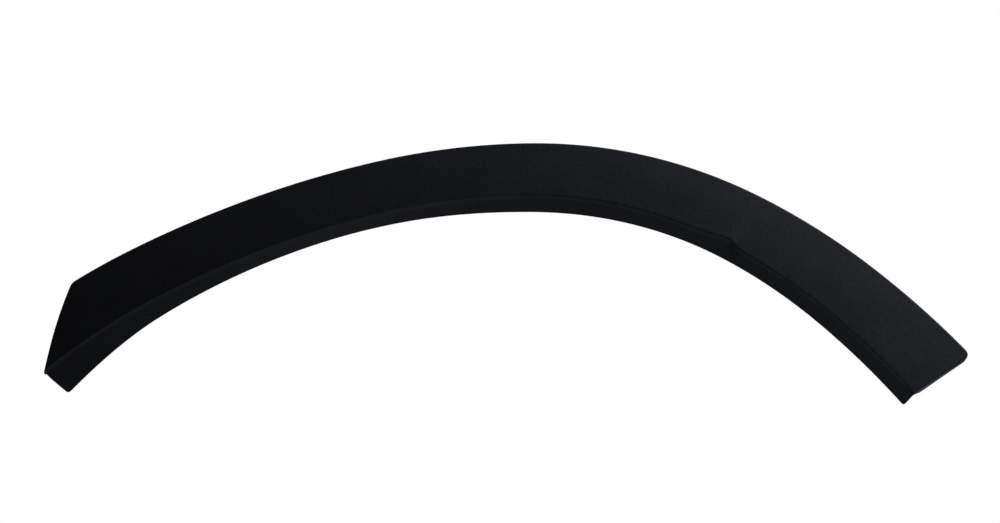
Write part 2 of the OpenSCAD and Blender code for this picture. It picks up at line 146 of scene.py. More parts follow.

# %% [markdown]
# A studio floor is matt white. It is a large plane. Rays from the camera, a gloss or a glass see it pale:
# most of that is a glow of its own, and the rest is a diffuse finish that keeps the object's shadow. Light
# that bounces off it towards the object is weak, as from a dark studio floor, because the photograph's lip is
# hardly lit from below.

# %% Floor
FLOOR_Z, FLOOR_HALF = -1.6, 12


def make_floor():
    """A square plane of twice FLOOR_HALF at FLOOR_Z, in metres."""
    mesh = bpy.data.meshes.new("studio_floor")
    corners = [(x * FLOOR_HALF, y * FLOOR_HALF, FLOOR_Z) for x, y in ((-1, -1), (1, -1), (1, 1), (-1, 1))]
    mesh.from_pydata(corners, [], [(0, 1, 2, 3)])
    floor = bpy.data.objects.new("studio_floor", mesh)
    bpy.context.scene.collection.objects.link(floor)
    material = bpy.data.materials.new("matt_white_floor")
    material.use_nodes = True
    tree = material.node_tree
    tree.nodes.clear()
    glow = add_node(tree, "ShaderNodeEmission", inputs={"Color": linear("#fbfbfa"), "Strength": 0.78})
    matt = add_node(tree, "ShaderNodeBsdfDiffuse", inputs={"Color": linear("#7e7e7c")})
    pale = add_node(tree, "ShaderNodeAddShader", links={0: glow.outputs[0], 1: matt.outputs[0]})
    dim = add_node(tree, "ShaderNodeBsdfDiffuse", inputs={"Color": linear("#303030")})
    both = add_node(tree, "ShaderNodeMixShader",
                    links={0: seen_directly(tree), 1: dim.outputs[0], 2: pale.outputs[0]})
    add_node(tree, "ShaderNodeOutputMaterial", links={"Surface": both.outputs[0]})
    mesh.materials.append(material)
    return floor


floor = make_floor()
print("floor at z", FLOOR_Z)

# %% [markdown]
# The trim is moulded in black polypropylene against a spark-eroded tool, which leaves a fine even
# stipple: cells a little under a millimetre across and a few hundredths deep. The eye sees a dull
# charcoal with a faint speckle and no mirror image. Two noises make it: cells for the stipple and
# broad soft patches for the slight unevenness of a real moulding. A paler hairline is painted along
# the fold on the rear half as a painted highlight, not a colour of the plastic; it fades out over the crown.
# The shell's own attribute says where that line is, because it follows the shape and not the axes.

# %% Black grained polypropylene
MM = 0.001


def cells_per_metre(size_mm):
    """Scale of a texture on Object coordinates whose features are size_mm across."""
    return 1 / (size_mm * MM)


def new_material(name):
    """An empty node material and its tree."""
    material = bpy.data.materials.new(name)
    material.use_nodes = True
    material.node_tree.nodes.clear()
    return material, material.node_tree


def finish_material(tree, shader):
    """Links the shader to the output."""
    add_node(tree, "ShaderNodeOutputMaterial", links={"Surface": shader.outputs[0]})


# The third colour is a painted highlight along the fold's rounding on the rear half, not a colour of the
# plastic.
DARK_SPECK, LIGHT_SPECK, FOLD_HIGHLIGHT_COLOUR = "#1f2024", "#27292e", "#303237"


def grained_polypropylene():
    """Stipple of 0.9 mm cells in the bump, speckle and patches in the colour, a painted highlight along the
    fold, rough all over.
    """
    material, tree = new_material("moulded_black_polypropylene")
    place = add_node(tree, "ShaderNodeTexCoord").outputs["Object"]
    stipple = add_node(tree, "ShaderNodeTexVoronoi", {"feature": "SMOOTH_F1"},
                       {"Scale": cells_per_metre(0.9), "Smoothness": 0.6}, {"Vector": place})
    fine = add_node(tree, "ShaderNodeTexNoise", inputs={"Scale": cells_per_metre(0.5), "Detail": 2.0},
                    links={"Vector": place})
    speckle = add_node(tree, "ShaderNodeTexNoise", inputs={"Scale": cells_per_metre(2.2), "Detail": 3.0},
                       links={"Vector": place})
    patches = add_node(tree, "ShaderNodeTexNoise", inputs={"Scale": cells_per_metre(38), "Detail": 2.0},
                       links={"Vector": place})
    tint = add_node(tree, "ShaderNodeValToRGB", links={"Fac": speckle.outputs[0]})
    tint.color_ramp.elements[0].position, tint.color_ramp.elements[1].position = 0.32, 0.68
    tint.color_ramp.elements[0].color = linear(DARK_SPECK)
    tint.color_ramp.elements[1].color = linear(LIGHT_SPECK)
    colour = add_node(tree, "ShaderNodeMix", {"data_type": "RGBA", "blend_type": "MULTIPLY"},
                      {"Factor": 0.35}, {"A": tint.outputs[0], "B": patches.outputs[0]})
    # Painted highlight: the shell's attribute mixes the paler fold colour in along the fold's rounding.
    fold_highlight = add_node(tree, "ShaderNodeAttribute", {"attribute_name": "painted_fold_highlight"})
    pale = add_node(tree, "ShaderNodeMix", {"data_type": "RGBA"}, {"B": linear(FOLD_HIGHLIGHT_COLOUR)},
                    {"Factor": fold_highlight.outputs["Fac"], "A": colour.outputs["Result"]})
    rough = add_node(tree, "ShaderNodeMapRange", inputs={"To Min": 0.58, "To Max": 0.72},
                     links={"Value": fine.outputs[0]})
    low = add_node(tree, "ShaderNodeBump", inputs={"Strength": 0.35, "Distance": 0.05 * MM},
                   links={"Height": fine.outputs[0]})
    grain = add_node(tree, "ShaderNodeBump", inputs={"Strength": 0.5, "Distance": 0.12 * MM},
                     links={"Height": stipple.outputs["Distance"], "Normal": low.outputs[0]})
    shader = add_node(tree, "ShaderNodeBsdfPrincipled", inputs={"Specular IOR Level": 0.02, "IOR": 1.49},
                      links={"Base Color": pale.outputs["Result"], "Roughness": rough.outputs[0],
                             "Normal": grain.outputs[0]})
    finish_material(tree, shader)
    return material


black_plastic = grained_polypropylene()
print("made", black_plastic.name)

# %% [markdown]
# The clips are moulded in natural nylon: milky off-white, a little waxy, with light that soaks in
# about a millimetre. The foam of the rings and of the edge seal is closed-cell rubber, dull and dark,
# with a skin full of pinholes half a millimetre wide.

# %% Nylon and foam
def natural_nylon():
    """Off-white with soft clouds 6 mm wide, a shallow tool texture and light that soaks in 1 mm."""
    material, tree = new_material("moulded_natural_nylon")
    place = add_node(tree, "ShaderNodeTexCoord").outputs["Object"]
    clouds = add_node(tree, "ShaderNodeTexNoise", inputs={"Scale": cells_per_metre(6), "Detail": 3.0},
                      links={"Vector": place})
    tool = add_node(tree, "ShaderNodeTexNoise", inputs={"Scale": cells_per_metre(0.6), "Detail": 2.0},
                    links={"Vector": place})
    tint = add_node(tree, "ShaderNodeValToRGB", links={"Fac": clouds.outputs[0]})
    tint.color_ramp.elements[0].color = linear("#d2cdbf")
    tint.color_ramp.elements[1].color = linear("#e2dfd4")
    rough = add_node(tree, "ShaderNodeMapRange", inputs={"To Min": 0.34, "To Max": 0.5},
                     links={"Value": tool.outputs[0]})
    bump = add_node(tree, "ShaderNodeBump", inputs={"Strength": 0.3, "Distance": 0.03 * MM},
                    links={"Height": tool.outputs[0]})
    shader = add_node(tree, "ShaderNodeBsdfPrincipled",
                      inputs={"IOR": 1.53, "Subsurface Weight": 0.25, "Subsurface Radius": (1.0, 0.8, 0.55),
                              "Subsurface Scale": 1.0 * MM},
                      links={"Base Color": tint.outputs[0], "Roughness": rough.outputs[0],
                             "Normal": bump.outputs[0]})
    finish_material(tree, shader)
    return material


def cellular_foam():
    """Pinholes of 0.5 mm in the bump, painted shade darkening the tint in their pits, and a matt skin."""
    material, tree = new_material("closed_cell_foam_rubber")
    place = add_node(tree, "ShaderNodeTexCoord").outputs["Object"]
    holes = add_node(tree, "ShaderNodeTexVoronoi", {"feature": "F1"}, {"Scale": cells_per_metre(0.5)},
                     {"Vector": place})
    # Painted shade: the colour is darker at the bottom of each pinhole, where shade falls, and lighter on the
    # rims between them.
    tint = add_node(tree, "ShaderNodeValToRGB", links={"Fac": holes.outputs["Distance"]})
    tint.color_ramp.elements[0].color = linear("#26272a")
    tint.color_ramp.elements[1].color = linear("#3b3c3f")
    bump = add_node(tree, "ShaderNodeBump", inputs={"Strength": 0.7, "Distance": 0.12 * MM},
                    links={"Height": holes.outputs["Distance"]})
    shader = add_node(tree, "ShaderNodeBsdfPrincipled", inputs={"Roughness": 0.95, "Specular IOR Level": 0.2},
                      links={"Base Color": tint.outputs[0], "Normal": bump.outputs[0]})
    finish_material(tree, shader)
    return material


nylon, foam = natural_nylon(), cellular_foam()
print("made", nylon.name, "and", foam.name)

# %% [markdown]
# The whole trim follows one line: the fold where the face turns in towards the wheel. It is made of
# three arcs on each side of the crown, each touching the next, so the outline has no corners.
# A second, much larger curve seen from above turns the ends in towards the body. Everything else
# is measured from that line: u outwards across the face, v into the body.

# %% The arch line
REAR_ARCS = ((610, 13), (920, 14.5), (575, 12))
FRONT_ARCS = ((385, 28.5), (520, 12), (730, 8.6))
REAR_PLAN, FRONT_PLAN = 2800, 2400
CLIP_UP, SEAT = 28, 22
REAR_LEN = sum(r * radians(a) for r, a in REAR_ARCS)
FRONT_LEN = sum(r * radians(a) for r, a in FRONT_ARCS)


def arch_line(s):
    """x, z and heading of the fold at distance s from the crown. On an arc of radius r that starts at
    heading h, a turn t adds r (sin(h + t) - sin h) to x and r (cos(h + t) - cos h) to z."""
    x, z, heading = (np.zeros_like(s) for _ in range(3))
    for side, arcs in ((-1, REAR_ARCS), (1, FRONT_ARCS)):
        x0 = z0 = h0 = start = 0.0
        for i, (r, angle) in enumerate(arcs):
            run = r * radians(angle)
            d = side * s - start
            on = (side * s >= 0) & (d >= 0) & ((d < run) | (i == len(arcs) - 1))
            t = d / r
            x = np.where(on, side * (x0 + r * (np.sin(h0 + t) - sin(h0))), x)
            z = np.where(on, z0 + r * (np.cos(h0 + t) - cos(h0)), z)
            heading = np.where(on, side * (h0 + t), heading)
            turn = radians(angle)
            x0 += r * (sin(h0 + turn) - sin(h0))
            z0 += r * (cos(h0 + turn) - cos(h0))
            h0 += turn
            start += run
    return x, z - CLIP_UP, heading


def plan_in(x):
    """Depth of a circle of radius R below its tangent: R minus the root of R squared minus x squared."""
    r = np.where(x < 0, REAR_PLAN, FRONT_PLAN)
    return r - np.sqrt(r ** 2 - x ** 2)


def plan_slope(x):
    """Slope of that circle: x over the root of R squared minus x squared."""
    r = np.where(x < 0, REAR_PLAN, FRONT_PLAN)
    return x / np.sqrt(r ** 2 - x ** 2)


print("arch line: %.0f mm behind the crown, %.0f mm ahead of it" % (REAR_LEN, FRONT_LEN))

# %% [markdown]
# Some sizes change along the arch: the face widens towards its ends and the lip spreads towards the
# rear end. Each is a smooth curve through a few knots. The swage is the small kink in the lower
# edge ahead of the crown: it climbs slowly and drops quickly, so the two sides have different runs.

# %% Sizes that change along the arch
FACE_KNOTS = ((-REAR_LEN, 63), (-REAR_LEN / 2, 58.5), (0, 59), (FRONT_LEN / 2, 63), (FRONT_LEN, 70))
LIP_KNOTS = ((-REAR_LEN, 23), (-0.75 * REAR_LEN, 8.5), (-0.4 * REAR_LEN, 2.5), (0, 6.75),
             (FRONT_LEN / 2, 5.75), (FRONT_LEN, 7.5))
SWAGE_AT, SWAGE_RISE, SWAGE_OUT, SWAGE_LEAD, SWAGE_TRAIL = 190, 4.5, 1.2, 46, 18
SWAGE_PEAK = 0.15
END_DROP, END_DROP_RUN = 2.8, 14


def through(knots, s):
    """Cubic through the knots whose slope at each is the slope between its two neighbours."""
    k = np.array(knots, float)
    before, after = np.maximum(np.arange(len(k)) - 1, 0), np.minimum(np.arange(len(k)) + 1, len(k) - 1)
    slopes = (k[after, 1] - k[before, 1]) / (k[after, 0] - k[before, 0])
    i = np.clip(np.searchsorted(k[:, 0], s, side="right") - 1, 0, len(k) - 2)
    run = k[i + 1, 0] - k[i, 0]
    t = (s - k[i, 0]) / run
    m0, m1, v0, v1 = slopes[i] * run, slopes[i + 1] * run, k[i, 1], k[i + 1, 1]
    inside = v0 + m0 * t + (3 * (v1 - v0) - 2 * m0 - m1) * t ** 2 + (2 * (v0 - v1) + m0 + m1) * t ** 3
    return np.where(t < 0, v0 + m0 * t, np.where(t > 1, v1 + m1 * (t - 1), inside))


def ease(t):
    """Square of t, held between 0 and 1."""
    return np.clip(t, 0, 1) ** 2


def rounded(q):
    """q with its start at 0 rounded: the root of q squared plus e squared, less e, scaled to meet 1."""
    e = SWAGE_PEAK
    return (np.sqrt(q * q + e * e) - e) / (np.sqrt(1 + e * e) - e)


def fold_shift(s):
    """How far the fold leaves the arch line: up and outwards at the swage, down at the front end."""
    share = ease(1 - rounded(np.maximum((SWAGE_AT - s) / SWAGE_LEAD, (s - SWAGE_AT) / SWAGE_TRAIL)))
    drop = END_DROP * ease((s - FRONT_LEN + END_DROP_RUN) / END_DROP_RUN)
    return np.stack([SWAGE_RISE * share - drop, -SWAGE_OUT * share], -1)


print("face width at the crown: %.1f mm" % through(FACE_KNOTS, np.array([0.0]))[0])

# %% [markdown]
# A slice across the trim runs from the lip's inner edge, up the lip, round the foot of the short step,
# over the fold, across the slightly crowned face, round the top edge and back along the return.
# The skin is this slice carried along the arch, once for the outside and once for the inside,
# which lies one wall thickness further in. That gives an even wall, as a moulding needs.

# %% The slice across the trim
WALL, FACE_SET, FACE_CROWN, TOP_ROUND, TOP_RETURN = 2.8, 10, 1.3, 3, 9
STEP_DEPTH, STEP_IN, FOLD_ROUND, FOOT_ROUND, LIP_DEPTH, LIP_CORNER_R = 6.25, 0.6, 1.8, 0.6, 24, 3
INNER_SOFT = 0.5
RIM_DEPTH = FACE_SET + TOP_RETURN
CUTBACK, CUTBACK_POWER = {-1: 7, 1: 0.5}, 1.3
LIP_ROWS, FOOT_STEPS, FOLD_STEPS, FACE_ROWS, TOP_STEPS = 8, 4, 7, 25, 7
FACE_FROM, FACE_TO, LIP_TO = 0.06, 0.94, 0.85


def unit(a):
    """Each vector over its length."""
    return a / np.linalg.norm(a, axis=-1, keepdims=True)


def inwards(d):
    """A direction along the slice turned a quarter turn to its inner side."""
    return np.stack([-d[..., 1], d[..., 0]], -1)


def mitre(p, d_in, d_out, t):
    """The corner p moved t square to both of its sides: t (a + b) / (1 + a . b)."""
    a, b = inwards(d_in), inwards(d_out)
    return p + t * (a + b) / (1 + (a * b).sum(-1, keepdims=True))


def soft(p, d_in, d_out, reach, steps):
    """Parabola that leaves one side of a corner and joins the other, reach away from it."""
    k = np.linspace(0, 1, steps + 1)[:, None]
    p, d_in, d_out = p[:, None], d_in[:, None], d_out[:, None]
    return p - d_in * reach * (1 - k) ** 2 + d_out * reach * k ** 2


def face_point(s, t):
    """The face at share t of its width: a straight slope plus a shallow parabola for the crown."""
    w = through(FACE_KNOTS, s)
    flat = np.stack([t * w, t * FACE_SET - 4 * FACE_CROWN * t * (1 - t) + 0 * s], -1)
    return flat + (1 - t)[..., None] ** 3 * fold_shift(s)


def corner_lift(s):
    """Rise of the lip's edge where it rounds into the cut, at x from the cut: r minus the root of
    r squared minus (r minus x) squared. The circle's other half is cut from the rows below."""
    r = LIP_CORNER_R
    x = np.minimum(s + REAR_LEN - CUTBACK[-1], FRONT_LEN - CUTBACK[1] - s)
    return r - np.sqrt(r * r - (r - np.clip(x, r * (1 - np.sqrt(0.5)), r)) ** 2)


def slice_across(s, t):
    """Points of the slice at each s, t inside the outer surface, as an array [place, row, (u, v)]."""
    shift, w = fold_shift(s), through(FACE_KNOTS, s)
    full = np.ones_like(s)
    lip_edge = np.stack([-STEP_IN - through(LIP_KNOTS, s), LIP_DEPTH * full], -1)
    foot = np.stack([shift[:, 0] - STEP_IN, STEP_DEPTH * full], -1)
    top = np.stack([w, FACE_SET * full], -1)
    back = np.stack([w, RIM_DEPTH * full], -1)
    shares = np.linspace(FACE_FROM, FACE_TO, FACE_ROWS)
    face = face_point(s[:, None], shares[None, :] * full[:, None])
    lip_d, step_d = unit(foot - lip_edge), unit(shift - foot)
    face_d, top_d, back_d = unit(face[:, 0] - shift), unit(top - face[:, -1]), unit(back - top)
    reach = (lambda r: INNER_SOFT) if t > 0 else (lambda r: r)
    lift, length = corner_lift(s)[:, None], np.linalg.norm(foot - lip_edge, axis=-1)[:, None]
    k = np.array([0, 0.9, 1.9]) / LIP_CORNER_R
    low = lift + (LIP_CORNER_R - lift) * k
    high = LIP_CORNER_R + (LIP_TO * length - LIP_CORNER_R) * np.linspace(0, 1, LIP_ROWS - len(k))
    up = np.concatenate([low, high], 1)[..., None]
    lip = lip_edge[:, None] + up * lip_d[:, None] + t * inwards(lip_d)[:, None]
    along = unit(np.gradient(face, axis=1))
    k = np.array([0.5, 1.0])[None, :, None]
    ret_start = mitre(top, top_d, back_d, t) + back_d * reach(TOP_ROUND)
    ret_end = back + t * inwards(back_d)
    returned = ret_start[:, None] + (ret_end - ret_start)[:, None] * k
    return np.concatenate([
        lip,
        soft(mitre(foot, lip_d, step_d, t), lip_d, step_d, reach(FOOT_ROUND), FOOT_STEPS),
        soft(mitre(shift, step_d, face_d, t), step_d, face_d, reach(FOLD_ROUND), FOLD_STEPS),
        face + t * inwards(along),
        soft(mitre(top, top_d, back_d, t), top_d, back_d, reach(TOP_ROUND), TOP_STEPS),
        returned], 1)


ROWS = slice_across(np.array([0.0]), 0).shape[1]
FOLD_ROWS = LIP_ROWS + FOOT_STEPS + FOLD_STEPS + 2
print("rows in a slice:", ROWS)

# %% [markdown]
# The rear end is cut on a slant and the front end almost square, both with rounded top corners and a
# softened edge that turns back into an end wall. The wall rises from nothing at the step to its full
# depth a little way up the face, and the lip ends in a plain cut with a rounded corner. Instead of
# cutting a long sweep, the columns near each end turn step by step from square to the slant, so the
# mesh follows the cut exactly.

# %% Ends and columns
REAR_CUT, FRONT_CUT, END_ROUND, END_DRAFT, END_RISE = radians(46), radians(-6), 2, 0.3, 1.2
CORNER_R = {-1: 12, 1: 7}
REAR_ZONE, FRONT_ZONE = REAR_LEN - 126, FRONT_LEN - 60.2
END_STEPS, EVEN_FROM = 6, 0.4
REAR_COLUMNS, FRONT_COLUMNS, SQUARE_COLUMNS = 42, 24, (124, 50, 31, 17, 48)


def cut_at(side, t):
    """Place along the arch where each row ends: a straight slant, or the circle of a corner. A circle
    of radius r lies r minus the root of r squared minus d squared off the line that it leaves."""
    s0 = -REAR_LEN if side < 0 else FRONT_LEN
    lean = REAR_CUT if side < 0 else FRONT_CUT
    u, v = slice_across(np.array([s0]), t)[0].T
    outer = slice_across(np.array([s0]), 0)[0]
    r, rows = CORNER_R[side] - t, np.arange(ROWS)
    w = through(FACE_KNOTS, np.array([s0]))[0] - t
    depth_share = np.maximum(0, outer[:, 1]) / LIP_DEPTH
    back = CUTBACK[side] * np.where(rows < FOLD_ROWS, depth_share ** CUTBACK_POWER, 0)
    edge = outer[0] - unit(outer[1] - outer[0]) * corner_lift(np.array([s0]))
    near = np.maximum(0, LIP_CORNER_R - np.linalg.norm(outer - edge, axis=1))
    lip = back + LIP_CORNER_R - np.sqrt(LIP_CORNER_R ** 2 - near ** 2)
    plain = np.maximum(u, 0) * np.tan(lean) + back + t / cos(lean)
    centre_u = w - r
    centre_s = centre_u * np.tan(lean) + (t + r) / cos(lean)
    bow = centre_s - np.sqrt(np.maximum(0, r * r - (np.minimum(u, w) - centre_u) ** 2))
    face = np.where(u > centre_u + r * sin(lean), bow, plain)
    return s0 - side * np.where(rows < LIP_ROWS, lip, face)


def wall_depth(uv):
    """How deep the end wall reaches behind each row: the step's depth, then a slope up to the rim."""
    depth = np.minimum(RIM_DEPTH, STEP_DEPTH + END_RISE * np.maximum(uv[..., 0], 0))
    return np.where(np.arange(ROWS) < LIP_ROWS, 0, depth)


def columns(t):
    """Places [column, row] and pushes [column] from the rear end to the front end. At the lip, where
    there is no end wall, the columns are spread out evenly instead of following its rounding."""
    r = INNER_SOFT if t > 0 else END_ROUND
    theta = np.linspace(pi / 2, 0, END_STEPS + 1)
    inset = np.r_[-END_DRAFT, r * (1 - np.sin(theta))]
    push = np.r_[1.0, r * (1 - np.cos(theta)) / RIM_DEPTH]
    even = np.r_[-END_DRAFT, np.linspace(EVEN_FROM * r, r, END_STEPS + 1)]
    uv = slice_across(np.array([-REAR_LEN]), 0)[0]
    walled = np.clip((wall_depth(uv) - uv[:, 1]) / END_ROUND, 0, 1)
    inset = even[:, None] + (inset - even)[:, None] * walled
    rear, front = cut_at(-1, t), cut_at(1, t)
    k = np.linspace(0, 1, REAR_COLUMNS + 2)[1:-1, None]
    rear_zone = (rear + r) + (-REAR_ZONE - rear - r) * k
    k = np.linspace(1, 0, FRONT_COLUMNS + 2)[1:-1, None]
    front_zone = (front - r) + (FRONT_ZONE - front + r) * k
    stops = (-REAR_ZONE, 0, SWAGE_AT - SWAGE_LEAD, SWAGE_AT, SWAGE_AT + SWAGE_TRAIL, FRONT_ZONE)
    spans = [np.linspace(a, b, count) for a, b, count in zip(stops, stops[1:], SQUARE_COLUMNS)]
    square = np.unique(np.round(np.concatenate(spans), 6))
    places = np.vstack([rear + inset, rear_zone, np.repeat(square[:, None], ROWS, 1),
                        front_zone, front - inset[::-1]])
    pushes = np.r_[push, np.zeros(len(rear_zone) + len(square) + len(front_zone)), push[::-1]]
    return places, pushes


def skin(t):
    """Grid [column, row, (x, y, z)] in mm: the fold's point plus u across the face and v into the body."""
    places, pushes = columns(t)
    rows = np.arange(ROWS)
    uv = slice_across(places.ravel(), t).reshape(*places.shape, ROWS, 2)[:, rows, rows]
    outer_uv = slice_across(places.ravel(), 0).reshape(*places.shape, ROWS, 2)[:, rows, rows]
    v = uv[..., 1] + np.maximum(0, wall_depth(outer_uv) - uv[..., 1]) * pushes[:, None]
    x, z, heading = arch_line(places)
    return np.stack([x + np.sin(heading) * uv[..., 0], plan_in(x) + v - SEAT,
                     z + np.cos(heading) * uv[..., 0]], -1)


outer, inner = skin(0), skin(WALL)
print("skin grid:", outer.shape[:2], "columns and rows on each side of the wall")

# %% [markdown]
# The two skins are joined round their rim. A moulded edge is never razor sharp, so the rim gets a
# half-millimetre round on both of its corners: four extra rings of points between outside and inside.

# %% The closed shell
# The second number is how far behind the crown, in mm, the painted highlight along the fold takes to reach
# full strength.
RIM_ROUND, HIGHLIGHT_FADE = 0.5, 120


def grid_faces(n, m, start, flip=False):
    """Quads of an n by m grid whose first point is number start."""
    a = (start + np.arange(n - 1)[:, None] * m + np.arange(m - 1)[None]).ravel()
    quads = np.stack([a, a + 1, a + m + 1, a + m], -1)
    return quads[:, ::-1] if flip else quads


def rim_order(n, m):
    """Column and row numbers once round a grid's boundary."""
    i = np.r_[np.arange(n), np.full(m - 1, n - 1), np.arange(n - 2, -1, -1), np.zeros(m - 2, int)]
    j = np.r_[np.zeros(n, int), np.arange(1, m), np.full(n - 1, m - 1), np.arange(m - 2, 0, -1)]
    return i, j


def closed_shell(outer, inner):
    """Outer grid, inner grid and the rounded strip between their boundaries. At each boundary point the
    rounding turns away from the next point inside, square to the boundary. Where three boundary points
    coincide, as at the end wall's top corner, the boundary's direction is read two points away."""
    n, m = outer.shape[:2]
    i, j = rim_order(n, m)
    edge_out, edge_in = outer[i, j], inner[i, j]
    near, far = (np.roll(edge_out, -k, 0) - np.roll(edge_out, k, 0) for k in (1, 2))
    along = unit(np.where(np.linalg.norm(near, axis=1, keepdims=True) < 1e-6, far, near))
    off = edge_out - outer[np.clip(i, 1, n - 2), np.clip(j, 1, m - 2)]
    off -= (off * along).sum(1, keepdims=True) * along
    tangent = unit(off)
    r = np.minimum(RIM_ROUND, 0.4 * np.linalg.norm(off, axis=1, keepdims=True))
    across = unit(edge_in - edge_out)
    outer, inner = outer.copy(), inner.copy()
    outer[i, j] = edge_out - r * tangent
    inner[i, j] = edge_in - r * tangent
    bend = 1 - np.sqrt(0.5)
    rings = np.stack([edge_out + across * r * bend - tangent * r * bend, edge_out + across * r,
                      edge_in - across * r, edge_in - across * r * bend - tangent * r * bend])
    points = np.concatenate([outer.reshape(-1, 3), inner.reshape(-1, 3), rings.reshape(-1, 3)])
    loop = len(i)
    outside = i * m + j
    inside = n * m + outside
    numbers = np.vstack([outside, 2 * n * m + np.arange(4 * loop).reshape(4, loop), inside])
    a, b = numbers[:-1], numbers[1:]
    strip = np.stack([a, np.roll(a, -1, 1), np.roll(b, -1, 1), b], -1).reshape(-1, 4)
    return points, np.vstack([grid_faces(n, m, 0), grid_faces(n, m, n * m, flip=True), strip[:, ::-1]])


def add_piece(name, points_mm, faces, material, slot, stands_for, sharp=50, painted_fold_highlight=None):
    """A mesh object from points in mm, shaded smooth except across edges sharper than sharp degrees.
    The last argument, a share of painted highlight along the fold for each point, becomes a point attribute
    of the same name."""
    mesh = bpy.data.meshes.new(name)
    mesh.from_pydata((np.asarray(points_mm) * MM).tolist(), [], [list(map(int, f)) for f in faces])
    if painted_fold_highlight is not None:
        mesh.attributes.new("painted_fold_highlight", "FLOAT", "POINT").data.foreach_set("value", painted_fold_highlight)
    work = bmesh.new()
    work.from_mesh(mesh)
    bmesh.ops.remove_doubles(work, verts=work.verts, dist=1e-7)
    bmesh.ops.recalc_face_normals(work, faces=work.faces)
    work.to_mesh(mesh)
    work.free()
    mesh.shade_smooth()
    mesh.set_sharp_from_angle(angle=radians(sharp))
    mesh.materials.append(material)
    mesh.update()
    piece = bpy.data.objects.new(name, mesh)
    bpy.context.scene.collection.objects.link(piece)
    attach(piece, "root")
    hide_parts(*stands_for)
    return piece


shell_points, shell_faces = closed_shell(outer, inner)
# Painted highlight: the rows of the fold's rounding get the paler colour, full on the rear half and fading to
# nothing at the crown.
highlight_rows = np.isin(np.arange(ROWS), LIP_ROWS + FOOT_STEPS + 1 + np.arange(2, FOLD_STEPS - 1))
highlight_fade = np.sqrt(np.clip(-columns(0)[0] / HIGHLIGHT_FADE, 0, 1))
painted_highlight = np.r_[(highlight_rows * highlight_fade).ravel(), np.zeros(len(shell_points) - highlight_fade.size)]
shell = add_piece("moulded_shell", shell_points, shell_faces, black_plastic, "black_plastic", ["moulding"],
                  painted_fold_highlight=painted_highlight)
print("shell:", len(shell.data.vertices), "points,", len(shell.data.polygons), "faces,",
      np.count_nonzero(~np.isfinite(shell_points)), "coordinates that aren't numbers")

# %% [markdown]
# Behind the face the moulding carries towers for the clips, three locating pins and thin ribs.
# Each is drawn in its own small frame on the body panel: x along the arch, y into the body and
# z outwards. One function moves such a shape to its place along the arch.

# %% Frames on the body panel
REAR_CLIPS, FRONT_CLIPS, CROWN_GAP, REAR_MARGIN, FRONT_MARGIN = 4, 4, 42, 64, 30
rear_pitch = (REAR_LEN - REAR_MARGIN - CROWN_GAP) / (REAR_CLIPS - 1)
front_pitch = (FRONT_LEN - FRONT_MARGIN - CROWN_GAP) / (FRONT_CLIPS - 1)
clip_places = np.r_[-CROWN_GAP - np.arange(REAR_CLIPS)[::-1] * rear_pitch,
                    CROWN_GAP + np.arange(FRONT_CLIPS) * front_pitch]
pin_places = np.array([-CROWN_GAP - (REAR_CLIPS - 1.5) * rear_pitch, 0.0,
                       CROWN_GAP + (FRONT_CLIPS - 1.5) * front_pitch])
thirds = np.array([1, 2]) / 3
rib_places = np.r_[(-CROWN_GAP - (np.arange(REAR_CLIPS - 1)[:, None] + thirds) * rear_pitch).ravel(),
                   -CROWN_GAP / 2, CROWN_GAP / 2,
                   (CROWN_GAP + (np.arange(FRONT_CLIPS - 1)[:, None] + thirds) * front_pitch).ravel()]


def on_body(s, local, turned=True):
    """Local points turned about y by the arch's heading, and about z by the plan's slope if turned."""
    x, z, h = (v[0] for v in arch_line(np.array([s])))
    a = np.arctan(plan_slope(np.array([x]))[0] * cos(h)) if turned else 0.0
    about_z = np.array([[cos(a), -sin(a), 0], [sin(a), cos(a), 0], [0, 0, 1]])
    about_y = np.array([[cos(h), 0, sin(h)], [0, 1, 0], [-sin(h), 0, cos(h)]])
    seat = np.array([x + sin(h) * CLIP_UP, plan_in(np.array([x]))[0], z + cos(h) * CLIP_UP])
    return seat + np.asarray(local, float) @ (about_y @ about_z).T


def face_depth(s, u):
    """Depth v of the outer face at u, for one place s."""
    w = through(FACE_KNOTS, np.array([s]))[0]
    return face_point(np.full(np.shape(u), float(s)), np.asarray(u, float) / w)[..., 1]


def mid_wall(s, z):
    """Local y of the middle of the face's wall at local height z."""
    return face_depth(s, CLIP_UP + np.asarray(z, float)) + WALL / 2 - SEAT


def prism(low, high):
    """Two equal loops of points, joined by quads and closed by a face at each end."""
    k = len(low)
    i = np.arange(k)
    sides = np.stack([i, np.roll(i, -1), np.roll(i, -1) + k, i + k], -1).tolist()
    return np.vstack([low, high]), sides + [list(range(k))[::-1], list(range(k, 2 * k))]


def gather(parts):
    """Several (points, faces) put in one list, with the face numbers moved on."""
    points, faces, start = [], [], 0
    for p, f in parts:
        points.append(p)
        faces += [[start + v for v in face] for face in f]
        start += len(p)
    return np.vstack(points), faces


print("clips at", np.round(clip_places), "mm along the arch")

# %% [markdown]
# A clip tower is a box open to the rear, with a keyhole in its roof. The clip's neck slides along the
# slot and snaps into the round end. Walls and roof are outlines given a thickness.

# %% Clip towers
HEAD_D, HEAD_T, NECK_D, FLANGE_T, FLANGE_D, RING_T, RING_D = 13, 1.5, 7, 1.2, 15, 2, 14
TOWER_WALL, ROOF_T, CLIP_GAP, ROOF_LAP, KEYHOLE_STEPS = 1.8, 2, 0.3, 0.02, 40
ROOF_OUT = -RING_T - FLANGE_T
ROOF_IN = ROOF_OUT - ROOF_T
TOWER_HALF = HEAD_D / 2 + CLIP_GAP + TOWER_WALL
INSIDE = TOWER_HALF - TOWER_WALL


